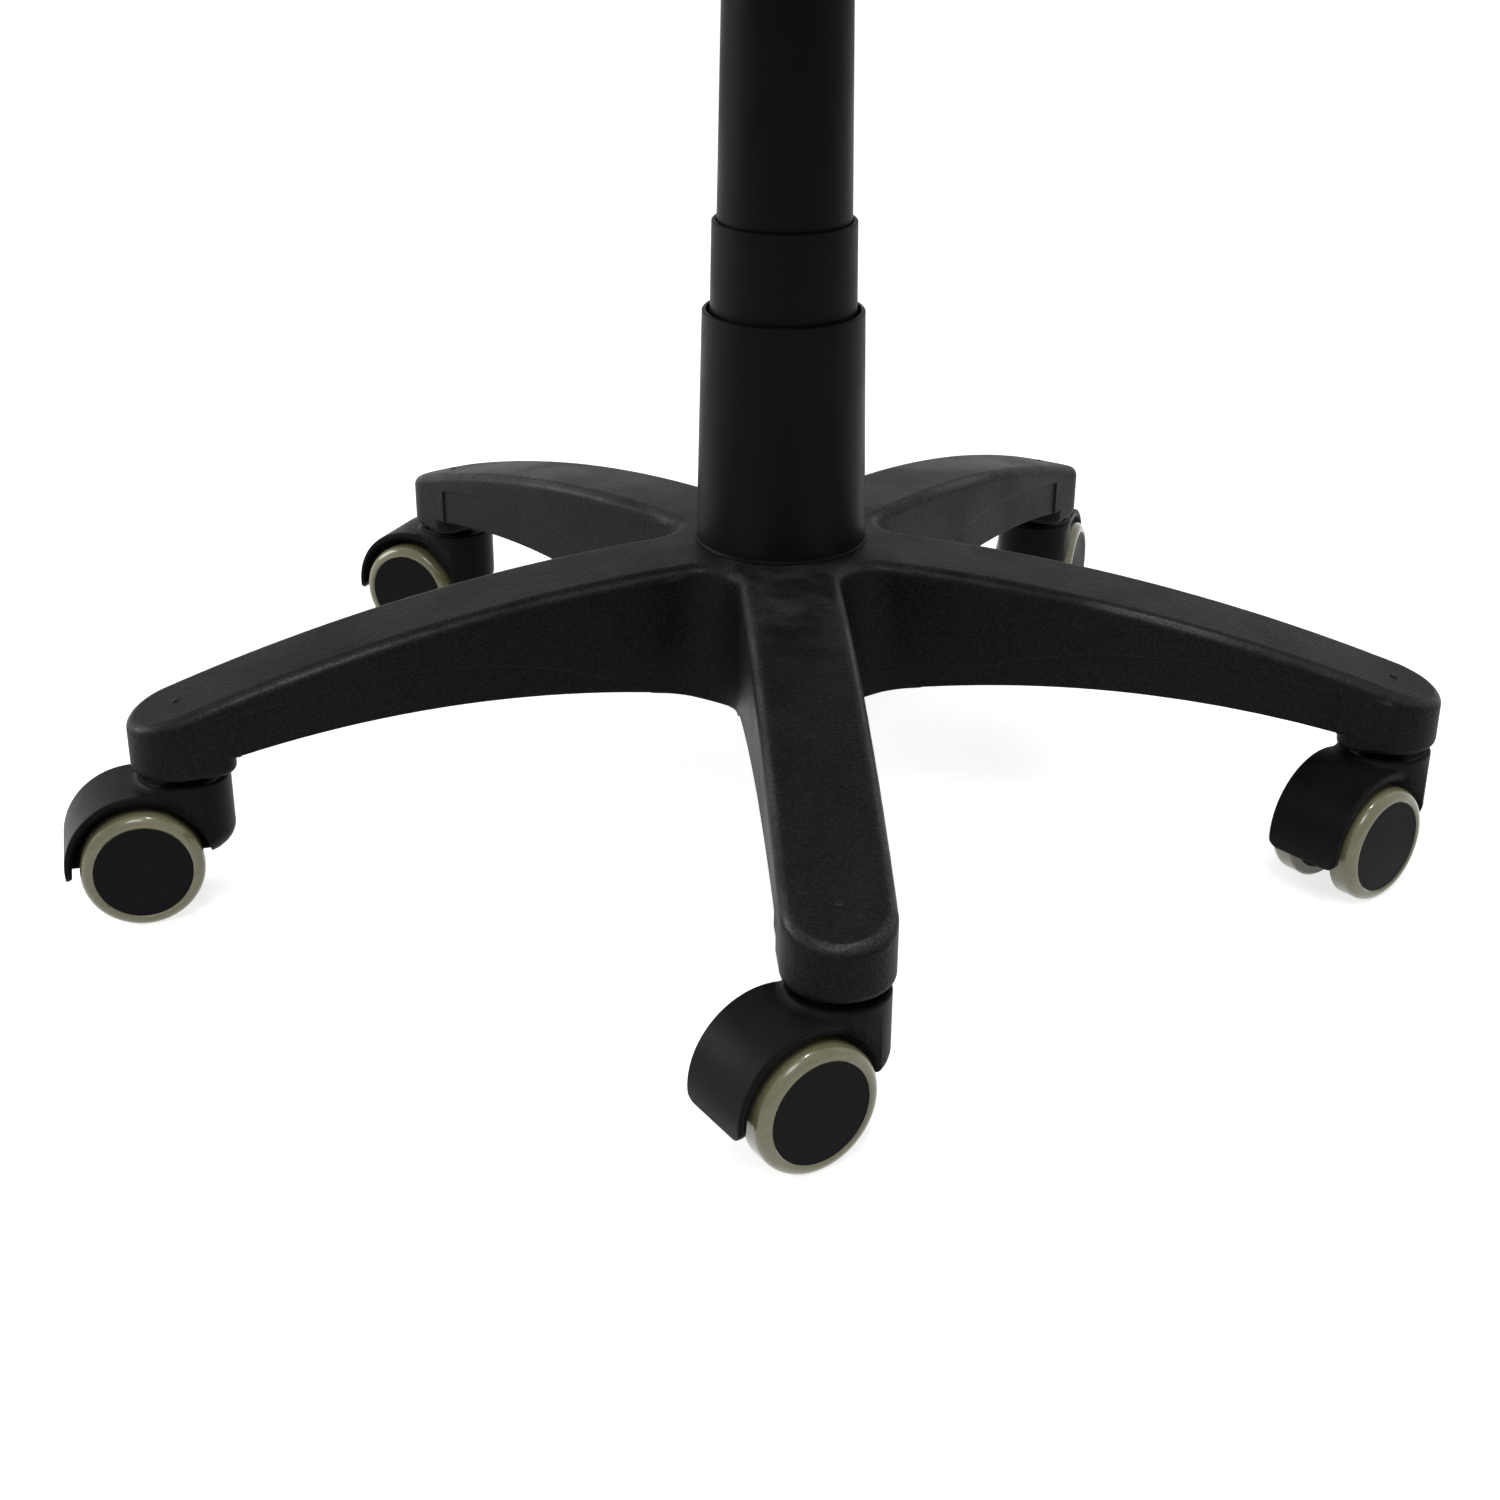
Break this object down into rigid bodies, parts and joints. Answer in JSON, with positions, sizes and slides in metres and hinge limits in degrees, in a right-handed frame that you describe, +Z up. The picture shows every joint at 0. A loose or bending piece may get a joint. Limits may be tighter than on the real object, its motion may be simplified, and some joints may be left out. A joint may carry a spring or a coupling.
{
  "type": "swivel stool",
  "caption": "Swivel stool with a round padded seat on a gas-lift column with a telescopic cover, standing on a moulded star base with hooded twin-wheel casters.",
  "frame": {"origin": "on the column's axis at floor level, midway between the caster stems", "axes": "+Z up along the column; the front arm of the base points along -Y and the seat lever along +X"},
  "size_m": [0.5776, 0.572, 0.4807],
  "materials": {
    "base_nylon": "fine moulded texture, slightly scuffed",
    "cover_plastic": "satin",
    "hood_plastic": "satin",
    "hub_plastic": "flat",
    "tread_polyurethane": "smooth, slightly glossy",
    "steel": "zinc plated",
    "painted_steel": "black powder coat",
    "rod_chrome": "polished",
    "guide_plastic": "plain moulded",
    "black_rubber": "matt",
    "plywood": "raw",
    "upholstery": "fine grain",
    "grip_plastic": "satin"
  },
  "bodies": {
    "base": {"base_star": "base_nylon", "caster_stems": "steel", "stem_grip_rings": "steel", "column_tube": "painted_steel", "guide_bush": "guide_plastic", "bearing_race_lower": "steel", "bearing_cage": "guide_plastic", "bearing_balls": "steel", "cover_bottom": "cover_plastic"},
    "swivel": {"piston_rod": "rod_chrome", "piston": "guide_plastic", "piston_seal": "black_rubber", "bearing_race_upper": "steel", "bump_stop": "black_rubber", "retaining_clip": "steel", "clip_washer": "steel"},
    "lift": {"gas_cylinder": "painted_steel", "rod_gland": "guide_plastic", "cover_top": "cover_plastic", "seat_plate": "painted_steel", "taper_socket": "painted_steel", "lever_pivot_pin": "steel", "seat_board": "plywood", "seat_bolts": "steel", "tee_nuts": "steel", "seat_cushion": "upholstery"},
    "cover_slide": {"cover_middle": "cover_plastic"},
    "lever": {"lever_rod": "painted_steel", "lever_grip": "grip_plastic"},
    "valve": {"release_pin": "steel"},
    "front_caster": {"front_hood": "hood_plastic", "front_axle": "steel"},
    "front_wheel_a": {"front_core_a": "hub_plastic", "front_tread_a": "tread_polyurethane"},
    "front_wheel_b": {"front_core_b": "hub_plastic", "front_tread_b": "tread_polyurethane"},
    "right_caster": {"right_hood": "hood_plastic", "right_axle": "steel"},
    "right_wheel_a": {"right_core_a": "hub_plastic", "right_tread_a": "tread_polyurethane"},
    "right_wheel_b": {"right_core_b": "hub_plastic", "right_tread_b": "tread_polyurethane"},
    "back_right_caster": {"back_right_hood": "hood_plastic", "back_right_axle": "steel"},
    "back_right_wheel_a": {"back_right_core_a": "hub_plastic", "back_right_tread_a": "tread_polyurethane"},
    "back_right_wheel_b": {"back_right_core_b": "hub_plastic", "back_right_tread_b": "tread_polyurethane"},
    "back_left_caster": {"back_left_hood": "hood_plastic", "back_left_axle": "steel"},
    "back_left_wheel_a": {"back_left_core_a": "hub_plastic", "back_left_tread_a": "tread_polyurethane"},
    "back_left_wheel_b": {"back_left_core_b": "hub_plastic", "back_left_tread_b": "tread_polyurethane"},
    "left_caster": {"left_hood": "hood_plastic", "left_axle": "steel"},
    "left_wheel_a": {"left_core_a": "hub_plastic", "left_tread_a": "tread_polyurethane"},
    "left_wheel_b": {"left_core_b": "hub_plastic", "left_tread_b": "tread_polyurethane"}
  },
  "joints": [
    {"name": "seat_swivel", "type": "hinge", "parent": "base", "child": "swivel", "pos_m": [0, 0, 0.062], "axis": [0, 0, 1], "continuous": true},
    {"name": "seat_lift", "type": "slide", "parent": "swivel", "child": "lift", "axis": [0, 0, 1], "range_m": [-0.08, 0.04]},
    {"name": "cover_follow", "type": "slide", "parent": "base", "child": "cover_slide", "axis": [0, 0, 1], "range_m": [-0.0336, 0.0168]},
    {"name": "release_lever", "type": "hinge", "parent": "lift", "child": "lever", "pos_m": [0.042, 0, 0.391], "axis": [0, -1, 0], "range_deg": [0, 5], "stiffness_Nm_per_rad": 2},
    {"name": "valve_press", "type": "slide", "parent": "lift", "child": "valve", "axis": [0, 0, -1], "range_m": [0, 0.0044]},
    {"name": "front_caster_swivel", "type": "hinge", "parent": "base", "child": "front_caster", "pos_m": [0, -0.265, 0.0598], "axis": [0, 0, 1], "continuous": true},
    {"name": "front_wheel_a_roll", "type": "hinge", "parent": "front_caster", "child": "front_wheel_a", "pos_m": [-0.01749, -0.2747, 0.025], "axis": [0.4848, -0.8746, 0], "continuous": true},
    {"name": "front_wheel_b_roll", "type": "hinge", "parent": "front_caster", "child": "front_wheel_b", "pos_m": [-0.01749, -0.2747, 0.025], "axis": [0.4848, -0.8746, 0], "continuous": true},
    {"name": "right_caster_swivel", "type": "hinge", "parent": "base", "child": "right_caster", "pos_m": [0.25203, -0.08189, 0.0598], "axis": [0, 0, 1], "continuous": true},
    {"name": "right_wheel_a_roll", "type": "hinge", "parent": "right_caster", "child": "right_wheel_a", "pos_m": [0.23589, -0.0937, 0.025], "axis": [0.5906, -0.807, 0], "continuous": true},
    {"name": "right_wheel_b_roll", "type": "hinge", "parent": "right_caster", "child": "right_wheel_b", "pos_m": [0.23589, -0.0937, 0.025], "axis": [0.5906, -0.807, 0], "continuous": true},
    {"name": "back_right_caster_swivel", "type": "hinge", "parent": "base", "child": "back_right_caster", "pos_m": [0.15576, 0.21439, 0.0598], "axis": [0, 0, 1], "continuous": true},
    {"name": "back_right_wheel_a_roll", "type": "hinge", "parent": "back_right_caster", "child": "back_right_wheel_a", "pos_m": [0.16348, 0.23284, 0.025], "axis": [-0.9225, 0.3859, 0], "continuous": true},
    {"name": "back_right_wheel_b_roll", "type": "hinge", "parent": "back_right_caster", "child": "back_right_wheel_b", "pos_m": [0.16348, 0.23284, 0.025], "axis": [-0.9225, 0.3859, 0], "continuous": true},
    {"name": "back_left_caster_swivel", "type": "hinge", "parent": "base", "child": "back_left_caster", "pos_m": [-0.15576, 0.21439, 0.0598], "axis": [0, 0, 1], "continuous": true},
    {"name": "back_left_wheel_a_roll", "type": "hinge", "parent": "back_left_caster", "child": "back_left_wheel_a", "pos_m": [-0.17374, 0.22316, 0.025], "axis": [-0.4384, -0.8988, 0], "continuous": true},
    {"name": "back_left_wheel_b_roll", "type": "hinge", "parent": "back_left_caster", "child": "back_left_wheel_b", "pos_m": [-0.17374, 0.22316, 0.025], "axis": [-0.4384, -0.8988, 0], "continuous": true},
    {"name": "left_caster_swivel", "type": "hinge", "parent": "base", "child": "left_caster", "pos_m": [-0.25203, -0.08189, 0.0598], "axis": [0, 0, 1], "continuous": true},
    {"name": "left_wheel_a_roll", "type": "hinge", "parent": "left_caster", "child": "left_wheel_a", "pos_m": [-0.27161, -0.08598, 0.025], "axis": [0.2045, -0.9789, 0], "continuous": true},
    {"name": "left_wheel_b_roll", "type": "hinge", "parent": "left_caster", "child": "left_wheel_b", "pos_m": [-0.27161, -0.08598, 0.025], "axis": [0.2045, -0.9789, 0], "continuous": true}
  ],
  "couplings": [
    {"joint": "cover_follow", "follows": "seat_lift", "ratio": 0.42},
    {"joint": "valve_press", "follows": "release_lever", "m_per_rad": 0.05}
  ]
}
